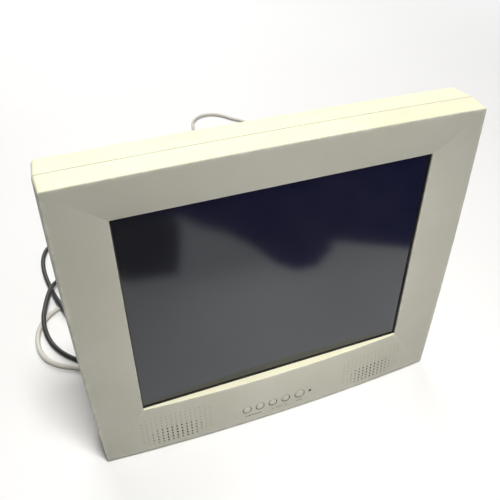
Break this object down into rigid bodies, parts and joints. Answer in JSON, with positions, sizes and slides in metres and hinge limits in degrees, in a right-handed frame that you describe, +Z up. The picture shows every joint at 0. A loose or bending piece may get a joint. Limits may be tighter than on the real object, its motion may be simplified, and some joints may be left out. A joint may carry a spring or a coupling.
{
  "type": "computer monitor",
  "caption": "Flat desk monitor with a grey-beige bezel, speaker grilles, a row of push buttons, a cream rear casing, a fold-up rear foot and two leads.",
  "frame": {"origin": "on the floor under the middle of the monitor as it stands with its rear foot down, leads left out", "axes": "+X to the right seen from the front, +Y from the screen towards the back, +Z up"},
  "size_m": [0.5706, 0.8833, 0.3919],
  "materials": {
    "bezel_plastic": "fine-grained moulded plastic, slightly yellowed grey-beige",
    "cover_plastic": "fine-grained moulded plastic, yellowed cream",
    "button_plastic": "smooth satin caps",
    "frame_black": "black satin",
    "screen_surface": "anti-glare coated dark screen",
    "lamp_lens": "smoked lens",
    "clear_plastic": "clear acrylic sheet",
    "white_film": "matt white film",
    "plated_steel": "zinc-plated sheet steel",
    "brass": "turned brass",
    "circuit_board": "green solder mask",
    "black_plastic": "black moulded plastic",
    "speaker_paper": "pressed black paper",
    "rubber": "black rubber",
    "power_lead_jacket": "black flexible jacket, satin",
    "video_lead_jacket": "grey-beige flexible jacket, satin",
    "label_paper": "blank satin label"
  },
  "bodies": {
    "head": {"audio_jack": "black_plastic", "backlight_lamp_bottom": "white_film", "backlight_lamp_top": "white_film", "board_chassis": "plated_steel", "button_board": "circuit_board", "case_screw_1": "plated_steel", "case_screw_2": "plated_steel", "case_screw_3": "plated_steel", "case_screw_4": "plated_steel", "diffuser_sheet": "white_film", "display_panel": "screen_surface", "front_bezel": "bezel_plastic", "heat_sink": "plated_steel", "hinge_bracket_left": "cover_plastic", "hinge_bracket_right": "cover_plastic", "hinge_pin": "plated_steel", "inverter_board": "circuit_board", "light_guide": "clear_plastic", "main_board": "circuit_board", "mains_plug": "power_lead_jacket", "mount_insert_1": "brass", "mount_insert_2": "brass", "mount_insert_3": "brass", "mount_insert_4": "brass", "pad_front_left": "rubber", "pad_front_right": "rubber", "pad_rear_left": "rubber", "pad_rear_right": "rubber", "panel_bracket_left": "plated_steel", "panel_bracket_right": "plated_steel", "power_board": "circuit_board", "power_connector": "power_lead_jacket", "power_inlet": "black_plastic", "power_lamp": "lamp_lens", "power_lead": "power_lead_jacket", "power_lead_coil": "power_lead_jacket", "rating_label": "label_paper", "rear_cover": "cover_plastic", "screen_back_plate": "plated_steel", "screen_frame": "frame_black", "shield_cover": "plated_steel", "speaker_cone_left": "speaker_paper", "speaker_cone_right": "speaker_paper", "speaker_left": "black_plastic", "speaker_right": "black_plastic", "transformer": "black_plastic", "video_connector": "video_lead_jacket", "video_lead": "video_lead_jacket", "video_plug": "video_lead_jacket", "video_socket": "plated_steel"},
    "button_auto": {"button_auto": "button_plastic"},
    "button_menu": {"button_menu": "button_plastic"},
    "button_minus": {"button_minus": "button_plastic"},
    "button_plus": {"button_plus": "button_plastic"},
    "button_power": {"button_power": "button_plastic"},
    "rear_foot": {"rear_foot": "cover_plastic", "foot_pad_left": "rubber", "foot_pad_right": "rubber"}
  },
  "joints": [
    {"name": "auto_press", "type": "slide", "parent": "head", "child": "button_auto", "axis": [0, 1, 0], "range_m": [0, 0.0012], "stiffness_N_per_m": 900, "springref_m": -0.0006},
    {"name": "menu_press", "type": "slide", "parent": "head", "child": "button_menu", "axis": [0, 1, 0], "range_m": [0, 0.0012], "stiffness_N_per_m": 900, "springref_m": -0.0006},
    {"name": "minus_press", "type": "slide", "parent": "head", "child": "button_minus", "axis": [0, 1, 0], "range_m": [0, 0.0012], "stiffness_N_per_m": 900, "springref_m": -0.0006},
    {"name": "plus_press", "type": "slide", "parent": "head", "child": "button_plus", "axis": [0, 1, 0], "range_m": [0, 0.0012], "stiffness_N_per_m": 900, "springref_m": -0.0006},
    {"name": "power_press", "type": "slide", "parent": "head", "child": "button_power", "axis": [0, 1, 0], "range_m": [0, 0.0012], "stiffness_N_per_m": 900, "springref_m": -0.0006},
    {"name": "rear_foot_fold", "type": "hinge", "parent": "head", "child": "rear_foot", "pos_m": [0, -0.0128, 0.024], "axis": [1, 0, 0], "range_deg": [0, 90]}
  ]
}
